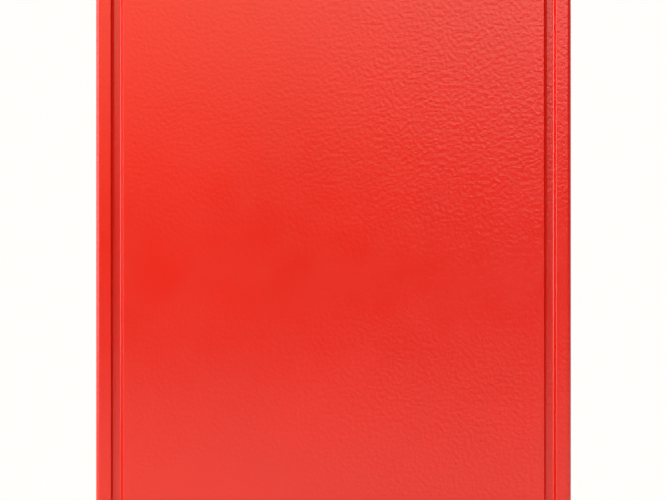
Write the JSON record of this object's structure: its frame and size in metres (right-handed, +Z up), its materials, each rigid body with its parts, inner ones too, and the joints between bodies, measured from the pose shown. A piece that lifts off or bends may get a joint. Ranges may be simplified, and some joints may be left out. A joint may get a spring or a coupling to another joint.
{
  "type": "standpipe cabinet",
  "caption": "Wall-hung red sheet-steel cabinet with an overlay door, holding a riser pipe, a bolted branch outlet and an angle hose valve with handwheel and cap.",
  "frame": {"origin": "centre of the four wall bolts, on the face that meets the wall", "axes": "+Z up, -Y out of the door into the room, +X to the right as seen from the room"},
  "size_m": [0.6107, 0.253, 1],
  "materials": {
    "red_powder_coat": "gloss powder coat with fine orange peel",
    "zinc_plated_steel": "bright zinc plate",
    "galvanised_steel": "hot-dip galvanised, spangled",
    "red_enamel_iron": "red enamel over sand-cast iron",
    "cast_brass": "sand-cast and turned brass",
    "red_wheel_paint": "dipped red paint on a cast wheel",
    "lock_zinc": "satin chrome on die-cast zinc",
    "black_rubber": "matt EPDM",
    "grey_foam": "closed-cell foam strip",
    "graphite_packing": "braided graphite",
    "spanner_steel": "forged and tumbled steel"
  },
  "bodies": {
    "cabinet": {"side_panels": "red_powder_coat", "top_panel": "red_powder_coat", "bottom_panel": "red_powder_coat", "front_rim": "red_powder_coat", "back_panel": "red_powder_coat", "wall_doublers": "red_powder_coat", "pipe_entry_rings": "black_rubber", "body_hinge_leaves": "red_powder_coat", "hinge_pins": "zinc_plated_steel", "body_hinge_rivets": "zinc_plated_steel", "riser_rails": "galvanised_steel", "rail_nuts": "zinc_plated_steel", "clamp_studs": "zinc_plated_steel", "clamp_backs": "zinc_plated_steel", "clamp_fronts": "zinc_plated_steel", "clamp_liners": "black_rubber", "clamp_bolts": "zinc_plated_steel", "clamp_nuts": "zinc_plated_steel", "riser_pipe": "galvanised_steel", "branch_housing": "red_enamel_iron", "branch_strap": "red_enamel_iron", "branch_gasket": "black_rubber", "branch_bolts": "zinc_plated_steel", "branch_nuts": "zinc_plated_steel", "branch_nipple": "galvanised_steel", "valve_body": "cast_brass", "valve_bonnet": "cast_brass", "bonnet_gasket": "black_rubber", "gland_packing": "graphite_packing", "gland_follower": "cast_brass", "gland_nut": "cast_brass", "outlet_adapter": "cast_brass", "spanner_clips": "zinc_plated_steel"},
    "disc": {"valve_disc": "cast_brass", "disc_washer": "black_rubber", "disc_screw": "zinc_plated_steel"},
    "stem": {"valve_stem": "zinc_plated_steel", "handwheel": "red_wheel_paint", "wheel_washer": "zinc_plated_steel", "wheel_nut": "zinc_plated_steel"},
    "cap_ring": {"cap_swivel": "zinc_plated_steel"},
    "cap": {"outlet_cap": "cast_brass", "cap_gasket": "black_rubber"},
    "door": {"door_skin": "red_powder_coat", "door_stiffeners": "red_powder_coat", "door_seal": "grey_foam", "door_hinge_leaves": "red_powder_coat", "door_hinge_rivets": "zinc_plated_steel", "lock_barrels": "lock_zinc", "lock_nuts": "lock_zinc"},
    "upper_lock": {"upper_insert": "lock_zinc", "upper_cam": "zinc_plated_steel", "upper_cam_screw": "zinc_plated_steel"},
    "lower_lock": {"lower_insert": "lock_zinc", "lower_cam": "zinc_plated_steel", "lower_cam_screw": "zinc_plated_steel"},
    "spanner": {"hose_spanner": "spanner_steel"}
  },
  "joints": [
    {"name": "door_swing", "type": "hinge", "parent": "cabinet", "child": "door", "pos_m": [-0.3055, -0.227, 0], "axis": [0, 0, -1], "range_deg": [0, 170]},
    {"name": "upper_lock_turn", "type": "hinge", "parent": "door", "child": "upper_lock", "pos_m": [0.238, -0.222, 0.43], "axis": [0, -1, 0], "range_deg": [0, 90]},
    {"name": "lower_lock_turn", "type": "hinge", "parent": "door", "child": "lower_lock", "pos_m": [0.238, -0.222, -0.43], "axis": [0, 1, 0], "range_deg": [0, 90]},
    {"name": "disc_lift", "type": "slide", "parent": "cabinet", "child": "disc", "axis": [1, 0, 0], "range_m": [0, 0.0221]},
    {"name": "handwheel_turn", "type": "hinge", "parent": "disc", "child": "stem", "pos_m": [0.04635, -0.085, 0.12], "axis": [1, 0, 0], "range_deg": [0, 1584]},
    {"name": "cap_travel", "type": "slide", "parent": "cabinet", "child": "cap_ring", "axis": [0, -0.7071, -0.7071], "range_m": [0, 0.0205]},
    {"name": "cap_turn", "type": "hinge", "parent": "cap_ring", "child": "cap", "pos_m": [0.04635, -0.085, 0.12], "axis": [0, -0.7071, -0.7071], "range_deg": [0, 2160]},
    {"name": "spanner_pull", "type": "slide", "parent": "cabinet", "child": "spanner", "axis": [0, -1, 0], "range_m": [0, 0.04]}
  ],
  "couplings": [
    {"joint": "disc_lift", "follows": "handwheel_turn", "m_per_rad": 0.00079577},
    {"joint": "cap_travel", "follows": "cap_turn", "m_per_rad": 0.00053953}
  ]
}
